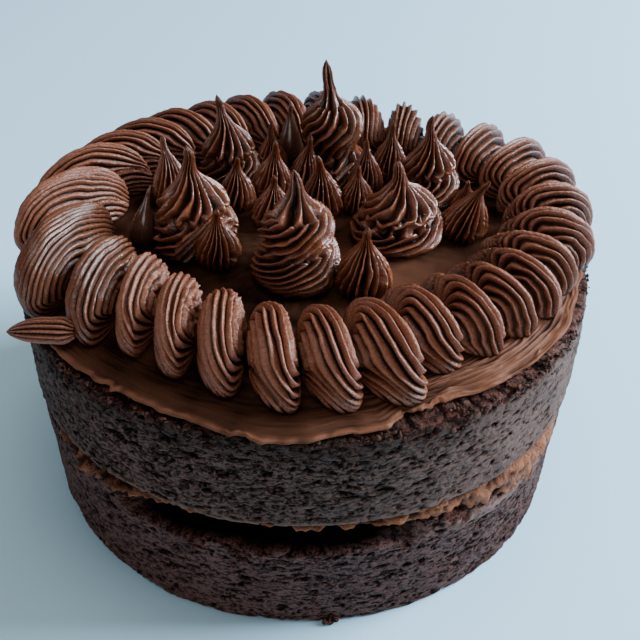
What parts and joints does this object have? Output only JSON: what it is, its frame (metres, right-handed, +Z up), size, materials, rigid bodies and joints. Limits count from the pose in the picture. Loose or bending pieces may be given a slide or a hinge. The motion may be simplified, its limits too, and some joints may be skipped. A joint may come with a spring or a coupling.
{
  "type": "chocolate layer cake",
  "caption": "Uncut round layer cake of dark chocolate sponge with bare sides, a thin filling, a piped rope border and a crowd of piped rosettes and kisses on top.",
  "frame": {"origin": "centre of the round base, on the surface that the cake stands on", "axes": "+Z up; -Y is the front, where a strip of spread frosting shows in front of the rope; +X is right seen from the front"},
  "size_m": [0.155, 0.1509, 0.1037],
  "materials": {
    "sponge": "matt, pitted dark chocolate crumb",
    "filling": "satin, torn chocolate frosting",
    "spread_frosting": "satin, knife-spread chocolate frosting",
    "piped_frosting": "soft satin, ridged piped chocolate frosting"
  },
  "bodies": {
    "root": {"lower_sponge": "sponge", "filling": "filling", "upper_sponge": "sponge", "top_frosting": "spread_frosting", "border_coil_01": "piped_frosting", "border_coil_02": "piped_frosting", "border_coil_03": "piped_frosting", "border_coil_04": "piped_frosting", "border_coil_05": "piped_frosting", "border_coil_06": "piped_frosting", "border_coil_07": "piped_frosting", "border_coil_08": "piped_frosting", "border_coil_09": "piped_frosting", "border_coil_10": "piped_frosting", "border_coil_11": "piped_frosting", "border_coil_12": "piped_frosting", "border_coil_13": "piped_frosting", "border_coil_14": "piped_frosting", "border_coil_15": "piped_frosting", "border_coil_16": "piped_frosting", "border_coil_17": "piped_frosting", "border_coil_18": "piped_frosting", "border_coil_19": "piped_frosting", "border_coil_20": "piped_frosting", "border_coil_21": "piped_frosting", "border_coil_22": "piped_frosting", "border_coil_23": "piped_frosting", "border_coil_24": "piped_frosting", "border_coil_25": "piped_frosting", "border_coil_26": "piped_frosting", "border_coil_27": "piped_frosting", "border_coil_28": "piped_frosting", "border_coil_29": "piped_frosting", "border_coil_30": "piped_frosting", "rope_tail": "piped_frosting", "rosette_front": "piped_frosting", "rosette_left": "piped_frosting", "rosette_right": "piped_frosting", "rosette_back_right": "piped_frosting", "rosette_back": "piped_frosting", "rosette_back_left": "piped_frosting", "kiss_front_left": "piped_frosting", "kiss_front_right": "piped_frosting", "kiss_right": "piped_frosting", "kiss_01": "piped_frosting", "kiss_02": "piped_frosting", "kiss_03": "piped_frosting", "kiss_04": "piped_frosting", "kiss_05": "piped_frosting", "kiss_06": "piped_frosting", "kiss_07": "piped_frosting", "kiss_08": "piped_frosting", "kiss_09": "piped_frosting", "kiss_10": "piped_frosting", "kiss_11": "piped_frosting", "peak_back": "piped_frosting", "peak_left": "piped_frosting"}
  },
  "joints": []
}
